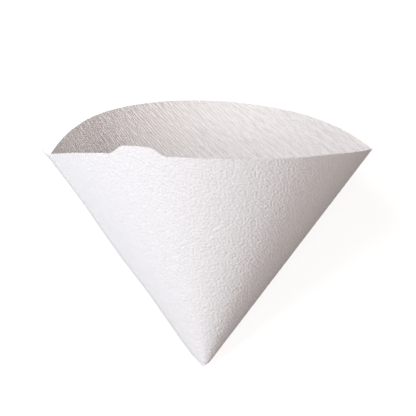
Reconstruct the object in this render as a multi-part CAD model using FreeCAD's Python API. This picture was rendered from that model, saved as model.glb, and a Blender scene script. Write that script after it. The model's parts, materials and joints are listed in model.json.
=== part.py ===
import FreeCAD, Part
import math
import os

# A cone paper coffee filter, opened by hand and laid down on its back wall.
# Its blank is a half disc of crepe paper. The half disc is folded once along its middle radius, which
# gives the right crease, and its two straight edges are crimped together in a flat seam at the left.
# Opened out, the paper stays a developable surface: each wall is a run of cone and plane patches whose
# rulings all meet at the tip, and every point of the rim keeps its distance from the tip.
# All lengths are in millimetres and all angles in degrees.

# The sheet: its slant length, its thickness, and each wall's share of the half disc
slant = 125.0
paper = 0.22
wall_turn = 90.0

# How the front wall bows, in three stretches. A bend is curvature times the distance from the tip.
front_left_turn = 27.0
front_right_turn = 30.0
front_left_bend = 0.85
front_mid_bend = 1.55
front_right_bend = 1.15

# How the back wall bows. Its middle stretch takes the bend that brings both edges to the creases.
back_left_turn = 20.0
back_right_turn = 20.0
back_left_bend = 0.25
back_right_bend = 0.29

# The inside is the outside lifted off the tip. The lift is the paper over the walls' slope to the lift.
wall_slope = 0.47

# The crimped seam along the left crease: two layers, folded back, opening a little at the rim. Its end
# stands above the rim, by the rise at its root and by the peak at its free edge.
seam_layers = 2
seam_width = 5.5
seam_root = 0.2
seam_fold = 77.0
seam_rim_fold = 74.0
seam_flare = 12.0
seam_rise = 0.15
seam_peak = 0.7
seam_start = 1.0
seam_start_width = 0.8
seam_chamfer = 6.0

# The grip tab on the front wall's rim. Its flat top is placed by the distance of its middle along the
# rim from the left crease, and its two flanks run down from there to the rim. The outline dips a
# little below the rim at its two ends, so that it crosses the rim at a clean angle.
tab_middle = 52.1
tab_top = 13.2
tab_left_run = 7.0
tab_right_run = 5.3
tab_height = 4.6
tab_corner = 2.6
tab_flare = 4.0
tab_dip = 0.3

X = FreeCAD.Vector(1, 0, 0)
Y = FreeCAD.Vector(0, 1, 0)
Z = FreeCAD.Vector(0, 0, 1)
TIP = FreeCAD.Vector(0, 0, 0)


def unit(vector):
    return FreeCAD.Vector(vector).normalize()


def rule_wall(turns, bends):
    """Lay patches side by side, each as (first ruling, side normal, turning axis, turning angle)."""
    ruling, along = X, Y
    patches = []
    for turn, bend in zip(turns, bends):
        normal = ruling.cross(along)
        axis = ruling * bend + normal
        angle = turn * axis.Length
        patches.append((ruling, normal, axis, angle))
        step = FreeCAD.Rotation(axis, angle)
        ruling, along = step.multVec(ruling), step.multVec(along)
    return patches, ruling


def spread(turns, bends):
    """The angle between a wall's two edges."""
    return math.degrees(X.getAngle(rule_wall(turns, bends)[1]))


def stand_wall(turns, bends):
    """Turn a wall so that its edges lie on the two creases: +Y runs up the middle, +X to the right."""
    patches, last = rule_wall(turns, bends)
    across, middle = unit(last - X), unit(last + X)
    turn = FreeCAD.Rotation(across, middle, across.cross(middle), "XYZ").inverted()
    return [(turn.multVec(ruling), turn.multVec(normal), turn.multVec(axis), angle)
            for ruling, normal, axis, angle in patches]


def closing_bend(turns, target):
    """Halve the range until the back wall's middle bend spans the same angle as the front wall."""
    low, high = 0.0, 4.0
    for _ in range(60):
        middle = (low + high) / 2
        if spread(turns, (-back_left_bend, -middle, -back_right_bend)) > target:
            low = middle
        else:
            high = middle
    return (low + high) / 2


def cone_solid(walls, height):
    """The solid inside all the wall patches, from the tip out to a distance, with a low cap."""
    sides, rims = [], []
    for ruling, _, axis, angle in walls:
        sides.append(Part.LineSegment(TIP, ruling * height).toShape().revolve(TIP, axis, angle))
        middle, last = (FreeCAD.Rotation(axis, angle * share).multVec(ruling) for share in (0.5, 1.0))
        rims.append(Part.Arc(ruling * height, middle * height, last * height).toShape())
    rim = Part.Wire(Part.__sortEdges__(rims))
    cap = Part.makeLoft([rim, Part.Vertex(Y * height)], False, True)
    shell = Part.makeShell(sides + cap.Faces)
    shell.sewShape()
    solid = Part.Solid(shell)
    if solid.Volume < 0:
        solid.reverse()
    return solid


def rounded_wire(points, radii):
    """A closed wire with a tangent arc at each corner that has a radius."""
    corners = []
    for i, (corner, radius) in enumerate(zip(points, radii)):
        if radius == 0:
            corners.append([corner])
            continue
        before, after = unit(points[i - 1] - corner), unit(points[(i + 1) % len(points)] - corner)
        half = before.getAngle(after) / 2
        reach = radius / math.tan(half)
        centre = corner + unit(before + after) * (radius / math.sin(half))
        corners.append([corner + before * reach, centre + unit(corner - centre) * radius, corner + after * reach])
    edges = []
    for i, corner in enumerate(corners):
        if len(corner) == 3:
            edges.append(Part.Arc(*corner).toShape())
        edges.append(Part.LineSegment(corner[-1], corners[(i + 1) % len(corners)][0]).toShape())
    return Part.Wire(edges)


def tab_prism(patches, turns):
    """The tab's outline, laid on the wall at the tab's middle and pushed through that wall."""
    to_go = math.degrees(tab_middle / slant)
    for (ruling, inward, axis, angle), turn in zip(patches, turns):
        if to_go <= turn:
            break
        to_go -= turn
    swing = FreeCAD.Rotation(axis, to_go * axis.Length)
    up, outward = swing.multVec(ruling), -swing.multVec(inward)

    def rim(x):
        return math.sqrt(slant * slant - x * x)

    left_top, right_top = -tab_top / 2, tab_top / 2
    left_base, right_base = left_top - tab_left_run, right_top + tab_right_run
    left_foot, right_foot = left_base - tab_flare, right_base + tab_flare
    low, high = slant - tab_height, slant + tab_height
    flat = [(left_foot, low), (left_foot, rim(left_foot) - tab_dip), (left_base, rim(left_base)),
            (left_top, high), (right_top, high),
            (right_base, rim(right_base)), (right_foot, rim(right_foot) - tab_dip), (right_foot, low)]
    radii = [0, 0, tab_flare, tab_corner, tab_corner, tab_flare, 0, 0]
    outline = rounded_wire([FreeCAD.Vector(x, y, 0) for x, y in flat], radii)
    prism = Part.Face(outline).extrude(Z * (2 * tab_height))
    prism.Placement = FreeCAD.Placement(-outward * tab_height,
                                        FreeCAD.Rotation(up.cross(outward), up, outward, "XYZ"))
    return prism


def make_seam(left, right):
    """A strip of two layers along the left crease, lofted through four cross-sections up to the rim."""
    outward = unit(left * (left * right) - right)
    half = paper * seam_layers / 2

    def section(root_at, edge_at, width, fold):
        reach = outward * math.cos(math.radians(fold)) - Z * math.sin(math.radians(fold))
        across = left.cross(reach) * half
        root, edge = left * root_at - reach * seam_root, left * edge_at + reach * width
        corners = [root - across, edge - across, edge + across, root + across]
        return Part.makePolygon(corners + corners[:1])

    chamfer_end, flare_start = seam_start + seam_chamfer, slant - seam_flare
    return Part.makeLoft([section(seam_start, seam_start, seam_start_width, seam_fold),
                          section(chamfer_end, chamfer_end, seam_width, seam_fold),
                          section(flare_start, flare_start, seam_width, seam_fold),
                          section(slant + seam_rise, slant + seam_peak, seam_width, seam_rim_fold)], True, True)


def rest_direction(centre, points):
    """The direction down, in the part, at which its centre of mass lies lowest over its support."""
    down = -Z
    step, last_step = 0.1, 1e-8

    def height(direction):
        return max((point - centre) * direction for point in points)

    while step > last_step:
        side = unit(down.cross(X))
        other = down.cross(side)
        turns = (math.pi * k / 6 for k in range(12))
        best = min((unit(down + side * (step * math.cos(a)) + other * (step * math.sin(a))) for a in turns),
                   key=height)
        if height(best) < height(down) - 1e-9:
            down = best
        else:
            step /= 2
    return down


def lay_down(shape, points):
    """Rest the part on the floor with its mouth towards +Y, and centre its box over the origin."""
    up = -rest_direction(shape.CenterOfMass, points)
    mouth = unit(Y - up * (Y * up))
    laid = shape.copy()
    laid.Placement = FreeCAD.Placement(TIP, FreeCAD.Rotation(mouth.cross(up), mouth, up, "XYZ").inverted())
    box = laid.optimalBoundingBox(False)
    laid.translate(FreeCAD.Vector(-box.Center.x, -box.Center.y, -box.ZMin))
    return laid


front_turns = (front_left_turn, wall_turn - front_left_turn - front_right_turn, front_right_turn)
front_bends = (front_left_bend, front_mid_bend, front_right_bend)
back_turns = (back_left_turn, wall_turn - back_left_turn - back_right_turn, back_right_turn)
mouth_angle = spread(front_turns, front_bends)
back_bends = (-back_left_bend, -closing_bend(back_turns, mouth_angle), -back_right_bend)

front_wall = stand_wall(front_turns, front_bends)
back_wall = stand_wall(back_turns, back_bends)
left_crease = front_wall[0][0]
right_crease = FreeCAD.Vector(-left_crease.x, left_crease.y, 0)

outside = cone_solid(front_wall + back_wall, slant + 2 * tab_height)
inside = outside.copy()
inside.translate(Y * (paper / wall_slope))
kept = Part.makeSphere(slant).fuse(tab_prism(front_wall, front_turns))
seam = make_seam(left_crease, right_crease)
body = outside.cut(inside).common(kept).fuse(seam).removeSplitter().Solids[0]

# The floor meets the back wall at its rim or the seam at a corner, so those are the points to rest on.
rim_steps = 40
supports = [vertex.Point for vertex in seam.Vertexes] + [TIP]
for ruling, _, axis, angle in back_wall:
    for k in range(rim_steps + 1):
        supports.append(FreeCAD.Rotation(axis, angle * k / rim_steps).multVec(ruling) * slant)
filter_paper = lay_down(body, supports)

os.makedirs("parts", exist_ok=True)
filter_paper.exportStep("parts/filter_paper.step")
box = filter_paper.optimalBoundingBox(False)
print("solids", len(filter_paper.Solids), "valid", filter_paper.isValid(), "faces", len(filter_paper.Faces))
print("volume in mm3", round(filter_paper.Volume, 1), "centre of mass", filter_paper.CenterOfMass)
print("sides in mm", round(box.XLength, 2), round(box.YLength, 2), round(box.ZLength, 2))
print("angle between the creases", round(mouth_angle, 2), "back middle bend", round(-back_bends[1], 3))
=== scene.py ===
import json
import math

import bpy
import numpy as np
from mathutils import Matrix, Vector, noise


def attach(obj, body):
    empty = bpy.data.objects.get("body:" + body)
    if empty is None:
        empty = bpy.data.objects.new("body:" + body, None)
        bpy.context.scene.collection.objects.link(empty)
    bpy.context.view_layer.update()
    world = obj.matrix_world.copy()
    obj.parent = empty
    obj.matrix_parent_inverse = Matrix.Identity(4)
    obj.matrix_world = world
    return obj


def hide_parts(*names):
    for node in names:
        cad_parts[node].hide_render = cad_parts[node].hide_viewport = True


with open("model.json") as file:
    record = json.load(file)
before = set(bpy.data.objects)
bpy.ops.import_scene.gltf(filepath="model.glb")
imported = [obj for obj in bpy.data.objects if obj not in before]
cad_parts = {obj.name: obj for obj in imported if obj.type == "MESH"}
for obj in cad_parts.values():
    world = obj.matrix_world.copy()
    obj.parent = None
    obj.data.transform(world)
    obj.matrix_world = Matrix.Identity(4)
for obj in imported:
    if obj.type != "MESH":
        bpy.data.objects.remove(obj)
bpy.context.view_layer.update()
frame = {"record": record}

# The looks of a cone paper coffee filter: creped white paper, one fold, one crimped seam and a grip tab.
# Lengths are in metres and angles in degrees. The filter's own axes have the tip at their origin, +Y up the
# middle between the two creases, +X to the right crease and +Z out of the front wall.
# A place on the flat blank, a half disc, is (u, v): u along its straight edge, below 0 on the front wall and
# above 0 on the back wall, and v away from that edge. Folded up, the edge's two halves are the left crease.

MM = 0.001

# Two places nearer than this are one, and so are two angles. A search by halving stops after so many steps.
TOUCH = 0.0001 * MM
ANGLE_TOUCH = 0.0001
HALVINGS = 60

# The sheet, as it is cut and bowed. A bend is curvature times the distance from the tip.
SLANT = 125.0 * MM
PAPER = 0.22 * MM
WALL_TURN = 90.0
FRONT_TURNS = (27.0, 33.0, 30.0)
FRONT_BENDS = (0.85, 1.55, 1.15)
BACK_TURNS = (20.0, 50.0, 20.0)
BACK_LEFT_BEND = 0.25
BACK_RIGHT_BEND = 0.29
MOST_BEND = 4.0

# The grip tab on the front rim, and how far along the rim its corners are rounded
TAB_MIDDLE = 52.1 * MM
TAB_TOP = 13.2 * MM
TAB_LEFT_RUN = 7.0 * MM
TAB_RIGHT_RUN = 5.3 * MM
TAB_HEIGHT = 4.6 * MM
TAB_SOFTNESS = 1.3 * MM

# The crimped seam along the left crease. Near the rim it opens, and its free edge ends in a pointed ear.
SEAM_WIDTH = 5.5 * MM
SEAM_FOLD = 77.0
SEAM_RIM_FOLD = 72.0
SEAM_FLARE = 5.0 * MM
SEAM_PEAK = 2.6 * MM
SEAM_START = 1.0 * MM
SEAM_START_WIDTH = 0.8 * MM
SEAM_CHAMFER = 6.0 * MM
SEAM_ROOT = 0.2 * MM

# Its two layers are thin at the root, at a share of their thickness, and thicken over a share of the width
SEAM_ROOT_SHARE = 0.1
SEAM_SWELL = 0.25

# Its crimp ribs, which fade out over a share of its width towards the root, and its free edge's slow sway
RIB_PITCH = 1.25 * MM
RIB_HEIGHT = 0.08 * MM
RIB_FADE = 1 / 3
SEAM_SWAY = 0.25 * MM
SEAM_SWAY_LENGTH = 56.55 * MM

# The mesh of the seam: its rows from tip to rim, and the points across each of its two faces
SEAM_STEPS = 330
SEAM_ACROSS = 8

# The mesh of the sheet: cells are long along the crepe's ridges and short across them, with rings at the tip
CELL_ALONG = 1.5 * MM
CELL_ACROSS = 0.38 * MM
CORE = 12.0 * MM
CORE_RINGS = 30

# The tip is a little blunt: it is pushed in, and the push fades out with the distance from the tip
TIP_PUSH = 1.2 * MM
TIP_REACH = 2.2 * MM

# The crepe's ridges, as noise cells along and across them, and a second, shorter grain that breaks them up
RIDGE_LENGTH = 3.0 * MM
RIDGE_PITCH = 0.85 * MM
RIDGE_HEIGHT = 0.36 * MM
BREAK_LENGTH = 0.45 * RIDGE_LENGTH
BREAK_PITCH = 1.1 * RIDGE_PITCH
BREAK_SHARE = 0.55

# The ridges wander sideways, and their strength swings slowly about its mean
WANDER_LENGTH = 7.0 * MM
WANDER = 0.7 * MM
STRENGTH_LENGTH = 20.0 * MM
STRENGTH_MEAN = 0.8
STRENGTH_SWING = 0.5

# Each grain is cut from the noise at a level of its own, so that no two are alike
RIDGE_LEVEL = 0.7
BREAK_LEVEL = 5.3
WANDER_LEVEL = 3.1
STRENGTH_LEVEL = 9.0

# The outer face is smoother than the inner one: it shows only a share of the ridges' height. The sheet is
# nowhere thinner than this.
OUTSIDE_SHARE = 0.3
THINNEST = 0.06 * MM

# The ridges fade out within this distance of the left crease, and of the tip
CREASE_FADE = 1.6 * MM
TIP_FADE = 6.4 * MM

# Towards the crimped seam the paper is pressed flatter. For each face: the share of the relief that is left
# at the seam, and the angle about the tip at which it has its full height.
OUTSIDE_PRESS = (0.25, 45.0)
INSIDE_PRESS = (0.45, 20.0)

# The finer relief in the paper's materials, as noise cells along and across the ridges. The crinkles are even
# bands, which sway.
BUMP_HEIGHT = 0.5 * MM
CRINKLE = (3.6 * MM, 1.3 * MM)
CRINKLE_SWAY = 6.0
CRINKLE_SWAY_SCALE = 2.2
PEBBLE = (1.45 * MM, 0.95 * MM)
FIBRE = (1.3 * MM, 0.5 * MM)
FIBRE_SHARE = 0.05

# The shares of crinkles and of pebbles in each face's relief
OUTSIDE_GRAIN = (0.05, 0.75)
INSIDE_GRAIN = (0.44, 0.2)

# The scale at which the wave texture has one band to a unit of length
ONE_BAND = math.pi / 10

# The paper's colour runs between two whites with its cloudy formation, the thicker fibres being the whiter
CLOUD = (5.0 * MM, 3.5 * MM)
THIN_FIBRES, THIN_WHITE = 0.3, (0.90, 0.898, 0.905, 1)
THICK_FIBRES, THICK_WHITE = 0.7, (0.93, 0.928, 0.94, 1)
ROUGHNESS = 0.9
SPECULAR = 0.25

# The floor: its size, how much light it gives back to the filter, and how the camera sees it
FLOOR_HALF = 3.0
FLOOR_TONE = 0.15
FLOOR_SEEN = 0.3
FLOOR_GLOW = 0.82

# The camera, in the filter's own axes: where it looks, and which way is down in its picture
LOOK = (0.2163, -0.2682, -0.9388)
PICTURE_DOWN = (-0.0213, -0.9626, 0.2701)
CAMERA_PLACE = (-1.7036 * SLANT, 2.6999 * SLANT, 7.3354 * SLANT)
FOCAL_PIXELS = 2191.0
PICTURE_PIXELS = 416
SENSOR = 36.0
CAMERA_REACH = 20.0

# Soft lamps stand around the filter, aimed at its middle. The three at the left light the front wall's left
# almost squarely, so that its crepe hardly shows there, and its right falls into shade. The back lamp lights
# the back wall's inside, the right lamp is a weak warm fill, and a small one close by lifts the shaded edge.
# A faint warm light comes from all around.
LAMP_SIZE = 0.35
LAMP_DISTANCE = 1.2
EDGE_LAMP_DISTANCE = 0.35
LAMP_AIM_HEIGHT = 0.04
FILL = (0.115, 0.10, 0.095)


def unit(v):
    v = np.asarray(v, float)
    return v / np.linalg.norm(v, axis=-1, keepdims=True)


def turned(v, axis, angle):
    """Vectors turned about an axis by an angle in radians, or by one angle each."""
    axis = unit(axis)
    c = np.cos(angle)[..., None]
    s = np.sin(angle)[..., None]
    return v * c + np.cross(axis, v) * s + axis * (axis @ v)[..., None] * (1 - c)


def smooth_step(x):
    """A curve from 0 to 1 that is level at both ends."""
    return x * x * (3 - 2 * x)


def smooth_low(x, soft):
    """max(x, 0) with a rounded corner."""
    return np.where(x < -soft, 0, np.where(x > soft, x, (x + soft) ** 2 / (4 * soft)))


def smooth_high(x, soft):
    """min(x, 1) with a rounded corner."""
    return 1 - smooth_low(1 - x, soft)


def rule_wall(turns, bends):
    """The patches of a wall, each as (arc start, first ruling, side normal, turning axis)."""
    ruling, along = np.array([1.0, 0, 0]), np.array([0, 1.0, 0])
    start, patches = 0.0, []
    for turn, bend in zip(turns, bends):
        normal = np.cross(ruling, along)
        axis = ruling * bend + normal
        patches.append((start, ruling, normal, axis))
        angle = np.array(math.radians(turn) * np.linalg.norm(axis))
        ruling, along = turned(ruling, axis, angle), turned(along, axis, angle)
        start += turn
    return patches, ruling


def spread(turns, bends):
    """The angle between a wall's two edges, in radians."""
    return math.acos(rule_wall(turns, bends)[1][0])


def closing_bend(turns, target):
    """The back wall's middle bend that brings its edges to the front wall's creases, by halving the range."""
    low, high = 0.0, MOST_BEND
    for _ in range(HALVINGS):
        middle = (low + high) / 2
        if spread(turns, (-BACK_LEFT_BEND, -middle, -BACK_RIGHT_BEND)) > target:
            low = middle
        else:
            high = middle
    return (low + high) / 2


def stand_wall(turns, bends):
    """Turn a wall so that its edges lie on the two creases."""
    patches, last = rule_wall(turns, bends)
    first = patches[0][1]
    across, middle = unit(last - first), unit(last + first)
    rows = np.stack([across, middle, np.cross(across, middle)])
    return [(start, rows @ ruling, rows @ normal, rows @ axis) for start, ruling, normal, axis in patches]


def follow_wall(patches, degrees):
    """Rulings and side normals at some arc angles from the left crease."""
    degrees = np.asarray(degrees, float)
    rulings, normals = np.zeros(degrees.shape + (3,)), np.zeros(degrees.shape + (3,))
    ends = [patch[0] for patch in patches[1:]] + [math.inf]
    for (start, ruling, normal, axis), end in zip(patches, ends):
        here = (degrees >= start) & (degrees <= end) if start else degrees <= end
        angle = np.radians(degrees[here] - start) * np.linalg.norm(axis)
        rulings[here] = turned(ruling, axis, angle)
        normals[here] = turned(normal, axis, angle)
    return rulings, normals


mouth_angle = spread(FRONT_TURNS, FRONT_BENDS)
FRONT = stand_wall(FRONT_TURNS, FRONT_BENDS)
BACK = stand_wall(BACK_TURNS, (-BACK_LEFT_BEND, -closing_bend(BACK_TURNS, mouth_angle), -BACK_RIGHT_BEND))
LEFT, RIGHT = FRONT[0][1], follow_wall(FRONT, [WALL_TURN])[0][0]


def row_placement():
    """The turn and shift from the filter's own axes to the row's, from three interfaces in the record."""
    mounts = {m["name"]: m for m in frame["record"]["mounts"]}
    tip = np.array(mounts["cone_outside"]["pos_m"])
    middle = unit(np.array(mounts["mouth"]["axis"]))
    tab = unit(np.array(mounts["tab_grip"]["axis"]))
    own_tab = follow_wall(FRONT, [math.degrees(TAB_MIDDLE / SLANT)])[0][0]
    own_middle = np.array([0, 1.0, 0])

    def basis(a, b):
        c = unit(np.cross(a, b))
        return np.stack([a, c, np.cross(a, c)], 1)

    return basis(middle, tab) @ basis(own_middle, own_tab).T, tip


TURN, TIP = row_placement()


def to_row(points):
    return np.asarray(points) @ TURN.T + TIP


def own_direction(v):
    return Vector(TURN @ unit(v))


def add_object(name, data):
    """A new object in the scene, from a mesh, a lamp or a camera."""
    thing = bpy.data.objects.new(name, data)
    bpy.context.scene.collection.objects.link(thing)
    return thing


def rim_distance(u, v):
    """How far from the tip the blank is cut, at a place on the flat blank. The tab rises from it."""
    along = np.arctan2(v, -u) * SLANT - TAB_MIDDLE
    run = np.where(along < 0, TAB_LEFT_RUN, TAB_RIGHT_RUN)
    slope = 1 - (np.abs(along) - TAB_TOP / 2) / run
    soft = TAB_SOFTNESS / run
    climb = smooth_low(smooth_high(slope, soft), soft)
    return SLANT + TAB_HEIGHT * climb


def grain_at(along, across, length, pitch, level):
    """Noise at a place, with cells of a length along the ridges and a pitch across them."""
    return noise.noise(Vector((along / length, across / pitch, level)))


def crepe_height(u, v):
    """Height of the crepe over the flat blank. Its ridges run along the blank's straight edge."""
    out = np.zeros(len(u))
    for i, (a, b) in enumerate(zip(u, v)):
        w = b + grain_at(a, b, WANDER_LENGTH, WANDER_LENGTH, WANDER_LEVEL) * WANDER
        ridge = grain_at(a, w, RIDGE_LENGTH, RIDGE_PITCH, RIDGE_LEVEL)
        broken = grain_at(a, w, BREAK_LENGTH, BREAK_PITCH, BREAK_LEVEL)
        swing = grain_at(a, b, STRENGTH_LENGTH, STRENGTH_LENGTH, STRENGTH_LEVEL)
        out[i] = (STRENGTH_MEAN + STRENGTH_SWING * swing) * (ridge + BREAK_SHARE * broken)
    return out * RIDGE_HEIGHT


def press(u, v, least, reach):
    """The share of the relief that is left at a place on the flat blank."""
    return least + (1 - least) * smooth_step(np.clip(np.degrees(np.arctan2(v, np.abs(u))) / reach, 0, 1))


def blank_mesh():
    """The flat blank as (points, faces): a grid cut along the rim, and rings round the tip."""
    reach = SLANT + TAB_HEIGHT
    columns, rows = int(reach / CELL_ALONG) + 1, int(reach / CELL_ACROSS) + 1
    us, vs = np.arange(-columns, columns + 1) * CELL_ALONG, np.arange(0, rows + 1) * CELL_ACROSS
    grid_u, grid_v = np.meshgrid(us, vs, indexing="ij")

    def level(u, v):
        """Above 0 between the rim and the rings round the tip."""
        r = np.hypot(u, v)
        return np.minimum(rim_distance(u, v) - r, r - CORE)

    inside = level(grid_u, grid_v) > 0
    points, faces, index = [], [], {}

    def corner(i, j):
        key = (i, j)
        if key not in index:
            index[key] = len(points)
            points.append((us[i], vs[j]))
        return index[key]

    def crossing(a, b):
        """The point between two grid corners at which the blank ends, by halving the way."""
        key = (min(a, b), max(a, b))
        if key not in index:
            (p, q) = (a, b) if inside[a] else (b, a)
            p, q = np.array([us[p[0]], vs[p[1]]]), np.array([us[q[0]], vs[q[1]]])
            for _ in range(HALVINGS):
                middle = (p + q) / 2
                if level(*middle) > 0:
                    p = middle
                else:
                    q = middle
            index[key] = len(points)
            points.append(tuple((p + q) / 2))
        return index[key]

    for i in range(2 * columns):
        for j in range(rows):
            cell = [(i, j), (i + 1, j), (i + 1, j + 1), (i, j + 1)]
            if not any(inside[c] for c in cell):
                continue
            face = []
            for a, b in zip(cell, cell[1:] + cell[:1]):
                if inside[a]:
                    face.append(corner(*a))
                if inside[a] != inside[b]:
                    face.append(crossing(a, b))
            if len(face) > 2:
                faces.append(face)

    points = np.array(points)
    ring = np.where(np.hypot(*points.T) < CORE + TOUCH)[0]
    angles = np.arctan2(points[ring, 1], points[ring, 0])
    last = list(ring[np.argsort(angles)])
    angles = np.sort(angles)
    parts, count = [points], len(points)
    for k in range(CORE_RINGS - 1, 0, -1):
        r = CORE * k / CORE_RINGS
        new = list(range(count, count + len(ring)))
        parts.append(np.stack([r * np.cos(angles), r * np.sin(angles)], 1))
        count += len(ring)
        for a in range(len(ring) - 1):
            faces.append([last[a + 1], new[a + 1], new[a], last[a]])
        last = new
    parts.append(np.zeros((1, 2)))
    for a in range(len(ring) - 1):
        faces.append([last[a], last[a + 1], count])
    return np.concatenate(parts), faces


def lift_blank(points):
    """Places and outward normals of flat points on the opened filter, and the miter of the fold lines."""
    u, v = points.T
    radius = np.hypot(u, v)
    front = u <= TOUCH
    arc = np.clip(np.degrees(np.arctan2(v, np.where(front, -u, u))), 0, WALL_TURN)
    f_ruling, f_normal = follow_wall(FRONT, arc)
    b_ruling, b_normal = follow_wall(BACK, arc)
    ruling = np.where(front[:, None], f_ruling, b_ruling)
    normal = np.where(front[:, None], -f_normal, b_normal)
    fold = (np.abs(arc - WALL_TURN) < ANGLE_TOUCH) | (arc < ANGLE_TOUCH) | (radius < TOUCH)
    both = -f_normal[fold] + b_normal[fold]
    miter = np.ones(len(u))
    miter[fold] = 2 / np.linalg.norm(both, axis=1)
    normal[fold] = unit(both)
    return ruling * radius[:, None], normal, miter


def crepe_sheet(flat):
    """The outer and inner places of flat points on the opened filter, with the crepe's ridges."""
    place, normal, miter = lift_blank(flat)
    radius = np.hypot(*flat.T)
    place = place + np.array([0, 1.0, 0]) * (TIP_PUSH * np.exp(-(radius / TIP_REACH) ** 2))[:, None]
    fade = np.clip(flat[:, 1] / CREASE_FADE, 0, 1) * np.clip(radius / TIP_FADE, 0, 1)
    height = crepe_height(*flat.T) * fade
    outer = height * OUTSIDE_SHARE * press(*flat.T, *OUTSIDE_PRESS)
    inner = np.minimum(height * press(*flat.T, *INSIDE_PRESS) - PAPER * miter, outer - THINNEST)
    return place + normal * outer[:, None], place + normal * inner[:, None]


def weld_straight_edge(flat):
    """The points to keep, and each point's number among them: the straight edge's halves become one line."""
    keep, numbers, seen = [], [], {}
    for i, (u, v) in enumerate(flat):
        key = ("edge", round(abs(u) / TOUCH)) if v < TOUCH else i
        if key not in seen:
            seen[key] = len(keep)
            keep.append(i)
        numbers.append(seen[key])
    return keep, numbers


def make_sheet():
    """The folded sheet: an outer face, an inner face a paper's thickness below it, and the cut rim."""
    flat, faces = blank_mesh()
    outer, inner = crepe_sheet(flat)
    keep, numbers = weld_straight_edge(flat)
    count = len(keep)

    edges = {}
    outside, outside_uvs = [], []
    for face in faces:
        ids = [numbers[i] for i in face]
        outside.append(ids)
        outside_uvs.append([flat[i] for i in face])
        for a, b, flat_a, flat_b in zip(ids, ids[1:] + ids[:1], face, face[1:] + face[:1]):
            edges.setdefault((min(a, b), max(a, b)), []).append((a, b, flat_a, flat_b))
    inside = [[i + count for i in ids][::-1] for ids in outside]
    inside_uvs = [corners[::-1] for corners in outside_uvs]
    rim, rim_uvs, lip = [], [], set()
    for found in edges.values():
        if len(found) == 1:
            a, b, flat_a, flat_b = found[0]
            rim.append([b, a, a + count, b + count])
            rim_uvs.append([flat[flat_b], flat[flat_a], flat[flat_a], flat[flat_b]])
            lip |= {a, b}

    mesh = bpy.data.meshes.new("filter_sheet")
    points = to_row(np.concatenate([outer[keep], inner[keep]]))
    mesh.from_pydata(points.tolist(), [], outside + inside + rim)
    layer = mesh.uv_layers.new(name="blank")
    corners = [np.array(c) for c in outside_uvs + inside_uvs + rim_uvs]
    layer.data.foreach_set("uv", np.concatenate(corners).ravel())
    mesh.polygons.foreach_set("use_smooth", [True] * len(mesh.polygons))
    mesh.polygons.foreach_set("material_index", [0] * len(outside) + [1] * len(inside) + [0] * len(rim))

    creases = (np.abs(flat[:, 0]) < TOUCH) | (flat[:, 1] < TOUCH)
    crease = {numbers[i] for i in np.where(creases)[0]}
    for e in mesh.edges:
        ends = {i % count for i in e.vertices}
        e.use_edge_sharp = ends <= crease or ends <= lip
    mesh.update()
    return add_object("filter_sheet", mesh)


def make_seam():
    """The crimped strip: two layers with fine cross ribs, folded back along the left crease."""
    outward = unit(LEFT * (LEFT @ RIGHT) - RIGHT)
    distances = SEAM_START + (SLANT - SEAM_START) * np.linspace(0, 1, SEAM_STEPS)
    loop = 2 * SEAM_ACROSS
    shares = [min(k, loop - 1 - k) / (SEAM_ACROSS - 1) for k in range(loop)]
    points = []
    for r in distances:
        grown = SEAM_START_WIDTH + (SEAM_WIDTH - SEAM_START_WIDTH) * (r - SEAM_START) / SEAM_CHAMFER
        width = min(SEAM_WIDTH, grown)
        flare = max(0.0, (r - SLANT + SEAM_FLARE) / SEAM_FLARE)
        fold = math.radians(SEAM_FOLD + (SEAM_RIM_FOLD - SEAM_FOLD) * smooth_step(flare))
        reach = outward * math.cos(fold) - np.array([0, 0, 1.0]) * math.sin(fold)
        side = np.cross(LEFT, reach)
        rib = RIB_HEIGHT * math.sin(2 * math.pi * r / RIB_PITCH)
        sway = SEAM_SWAY * math.sin(2 * math.pi * r / SEAM_SWAY_LENGTH)
        for k, w in enumerate(shares):
            face = 1 if k < SEAM_ACROSS else -1
            base = LEFT * (r + SEAM_PEAK * flare * w * w) + reach * (width * w - SEAM_ROOT * (1 - w))
            layer = PAPER * min(1, SEAM_ROOT_SHARE + w / SEAM_SWELL)
            points.append(base + side * (face * layer + rib * min(1, w / RIB_FADE) + sway * w))

    faces = []
    for i in range(SEAM_STEPS - 1):
        for k in range(loop):
            a, b = i * loop + k, i * loop + (k + 1) % loop
            faces.append([a, b, b + loop, a + loop])
    faces.append(list(range(loop))[::-1])
    faces.append([(SEAM_STEPS - 1) * loop + k for k in range(loop)])
    mesh = bpy.data.meshes.new("crimped_seam")
    mesh.from_pydata(to_row(points).tolist(), [], faces)
    layer = mesh.uv_layers.new(name="blank")
    flat = np.zeros((len(mesh.loops), 2))
    for corner in mesh.loops:
        i, k = divmod(corner.vertex_index, loop)
        flat[corner.index] = (-distances[i], -SEAM_WIDTH * shares[k])
    layer.data.foreach_set("uv", flat.ravel())
    mesh.polygons.foreach_set("use_smooth", [True] * len(mesh.polygons))
    free_edge, root = {SEAM_ACROSS - 1, SEAM_ACROSS}, {0, loop - 1}
    for e in mesh.edges:
        a, b = (i % loop for i in e.vertices)
        e.use_edge_sharp = {a, b} in (free_edge, root) or (a == b and a in free_edge)
    mesh.update()
    return add_object("crimped_seam", mesh)


def math_node(tree, operation, *values):
    """A math node's output. Each value is a socket to link or a plain number."""
    node = tree.nodes.new("ShaderNodeMath")
    node.operation = operation
    for socket, value in zip(node.inputs, values):
        if isinstance(value, bpy.types.NodeSocket):
            tree.links.new(value, socket)
        else:
            socket.default_value = value
    return node.outputs["Value"]


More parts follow.
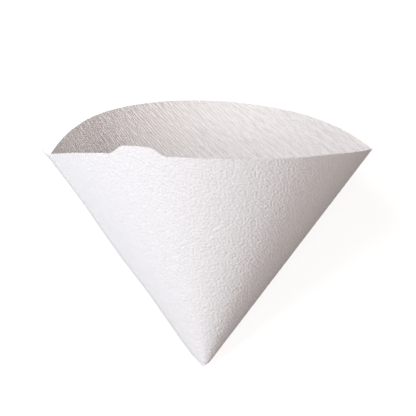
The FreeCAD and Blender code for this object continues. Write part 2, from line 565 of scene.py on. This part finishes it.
def paper_material(name, crinkle_share, pebble_share, least, reach):
    """Creped filter paper: white and matt, with crinkles, pebbles and fibres between the modelled ridges."""
    mat = bpy.data.materials.new(name)
    mat.use_nodes = True
    tree = mat.node_tree
    nodes, links = tree.nodes, tree.links
    shader = nodes["Principled BSDF"]
    shader.inputs["Roughness"].default_value = ROUGHNESS
    shader.inputs["Specular IOR Level"].default_value = SPECULAR
    uv = nodes.new("ShaderNodeUVMap")
    uv.uv_map = "blank"

    def cells(along, across):
        """The blank's coordinates, with cells of a length along the ridges and one across them as units."""
        scale = nodes.new("ShaderNodeMapping")
        scale.inputs["Scale"].default_value = (1 / along, 1 / across, 1)
        links.new(uv.outputs["UV"], scale.inputs["Vector"])
        return scale.outputs["Vector"]

    def grain(label, along, across, detail):
        texture = nodes.new("ShaderNodeTexNoise")
        texture.label = label
        texture.inputs["Scale"].default_value = 1.0
        texture.inputs["Detail"].default_value = detail
        links.new(cells(along, across), texture.inputs["Vector"])
        return texture.outputs["Fac"]

    def bands(label, along, across):
        """Even bands along the ridges, which sway and merge."""
        wave = nodes.new("ShaderNodeTexWave")
        wave.label = label
        wave.wave_type = "BANDS"
        wave.bands_direction = "Y"
        wave.inputs["Scale"].default_value = ONE_BAND
        wave.inputs["Distortion"].default_value = CRINKLE_SWAY
        wave.inputs["Detail"].default_value = 1
        wave.inputs["Detail Scale"].default_value = CRINKLE_SWAY_SCALE
        links.new(cells(along, across), wave.inputs["Vector"])
        return wave.outputs["Fac"]

    ramp = nodes.new("ShaderNodeValToRGB")
    thin, thick = ramp.color_ramp.elements
    thin.position, thin.color = THIN_FIBRES, THIN_WHITE
    thick.position, thick.color = THICK_FIBRES, THICK_WHITE
    links.new(grain("cloudy formation", *CLOUD, 2), ramp.inputs["Fac"])
    links.new(ramp.outputs["Color"], shader.inputs["Base Color"])

    relief = math_node(tree, "MULTIPLY", bands("crinkles", *CRINKLE), crinkle_share)
    relief = math_node(tree, "MULTIPLY_ADD", grain("pebbles", *PEBBLE, 0), pebble_share, relief)
    relief = math_node(tree, "MULTIPLY_ADD", grain("fibres", *FIBRE, 2), FIBRE_SHARE, relief)

    # The same pressing as in the mesh, by the angle about the tip from the blank's straight edge
    flat = nodes.new("ShaderNodeSeparateXYZ")
    links.new(uv.outputs["UV"], flat.inputs["Vector"])
    along = math_node(tree, "ABSOLUTE", flat.outputs["X"])
    left = nodes.new("ShaderNodeMapRange")
    left.interpolation_type = "SMOOTHSTEP"
    left.inputs["From Max"].default_value = math.radians(reach)
    left.inputs["To Min"].default_value = least
    links.new(math_node(tree, "ARCTAN2", flat.outputs["Y"], along), left.inputs["Value"])

    bump = nodes.new("ShaderNodeBump")
    bump.inputs["Strength"].default_value = 1.0
    bump.inputs["Distance"].default_value = BUMP_HEIGHT
    links.new(math_node(tree, "MULTIPLY", relief, left.outputs["Result"]), bump.inputs["Height"])
    links.new(bump.outputs["Normal"], shader.inputs["Normal"])
    return mat


def make_floor():
    """A white floor. To the camera it is a little self-lit, so that it is white and keeps a soft shadow."""
    corners = [(x * FLOOR_HALF, y * FLOOR_HALF, 0) for x, y in ((-1, -1), (1, -1), (1, 1), (-1, 1))]
    mesh = bpy.data.meshes.new("floor")
    mesh.from_pydata(corners, [], [(0, 1, 2, 3)])
    mat = bpy.data.materials.new("floor_white")
    mat.use_nodes = True
    tree = mat.node_tree
    nodes, links = tree.nodes, tree.links
    nodes.clear()
    ray = nodes.new("ShaderNodeLightPath").outputs
    seen = math_node(tree, "MAXIMUM", ray["Is Camera Ray"], ray["Is Glossy Ray"])
    seen = math_node(tree, "MAXIMUM", seen, ray["Is Transmission Ray"])
    glow = nodes.new("ShaderNodeEmission")
    links.new(math_node(tree, "MULTIPLY", seen, FLOOR_GLOW), glow.inputs["Strength"])
    shade = nodes.new("ShaderNodeMix")
    shade.data_type = "RGBA"
    shade.inputs["A"].default_value = (FLOOR_TONE, FLOOR_TONE, FLOOR_TONE, 1)
    shade.inputs["B"].default_value = (FLOOR_SEEN, FLOOR_SEEN, FLOOR_SEEN, 1)
    links.new(seen, shade.inputs["Factor"])
    matt = nodes.new("ShaderNodeBsdfDiffuse")
    links.new(shade.outputs["Result"], matt.inputs["Color"])
    both = nodes.new("ShaderNodeAddShader")
    links.new(matt.outputs["BSDF"], both.inputs[0])
    links.new(glow.outputs["Emission"], both.inputs[1])
    out = nodes.new("ShaderNodeOutputMaterial")
    links.new(both.outputs["Shader"], out.inputs["Surface"])
    mesh.materials.append(mat)
    return add_object("floor", mesh)


def make_camera():
    data = bpy.data.cameras.new("camera")
    data.sensor_width = SENSOR
    data.lens = SENSOR * FOCAL_PIXELS / PICTURE_PIXELS
    data.clip_end = CAMERA_REACH
    camera = add_object("camera", data)
    back = -own_direction(LOOK)
    up = -own_direction(PICTURE_DOWN)
    side = up.cross(back).normalized()
    up = back.cross(side)
    turn = Matrix((side, up, back)).transposed()
    camera.matrix_world = Matrix.Translation(Vector(to_row(CAMERA_PLACE))) @ turn.to_4x4()
    bpy.context.scene.camera = camera


def make_lamp(name, direction, power, distance=LAMP_DISTANCE):
    """A soft round lamp, smaller when it is closer. Its power is in watts for each of red, green and blue."""
    data = bpy.data.lights.new(name, "AREA")
    data.shape = "DISK"
    data.size = LAMP_SIZE * distance / LAMP_DISTANCE
    data.energy = max(power)
    data.color = [p / max(power) for p in power]
    lamp = add_object(name, data)
    toward = own_direction(direction)
    lamp.location = Vector((0, 0, LAMP_AIM_HEIGHT)) + toward * distance
    lamp.rotation_euler = toward.to_track_quat("Z", "Y").to_euler()


def make_world(colour):
    world = bpy.data.worlds.new("studio")
    world.use_nodes = True
    background = world.node_tree.nodes["Background"]
    background.inputs["Color"].default_value = (*colour, 1)
    background.inputs["Strength"].default_value = 1.0
    bpy.context.scene.world = world


bpy.context.scene.view_settings.view_transform = "Standard"
make_camera()
make_world(FILL)
make_lamp("lamp_left", (-0.85, 0.0, 0.5), (3.45, 3.63, 3.96))
make_lamp("lamp_mouth", (-0.7, 0.4, 0.6), (4.52, 4.77, 4.98))
make_lamp("lamp_low", (-0.6, -0.4, 0.7), (5.24, 5.01, 4.99))
make_lamp("lamp_back", (-0.5, 0.8, 0.3), (5.5, 4.9, 4.65))
make_lamp("lamp_right", (0.5, 0.2, 0.85), (3.2, 2.7, 2.5))
make_lamp("lamp_edge", (0.85, 0.4, 0.35), (0.085, 0.077, 0.073), EDGE_LAMP_DISTANCE)
make_floor()

outside_paper = paper_material("creped_paper_outside", *OUTSIDE_GRAIN, *OUTSIDE_PRESS)
inside_paper = paper_material("creped_paper_inside", *INSIDE_GRAIN, *INSIDE_PRESS)
for piece in (make_sheet(), make_seam()):
    piece.data.materials.append(outside_paper)
    piece.data.materials.append(inside_paper)
    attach(piece, "root")
    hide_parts("filter_paper")

bpy.context.view_layer.update()
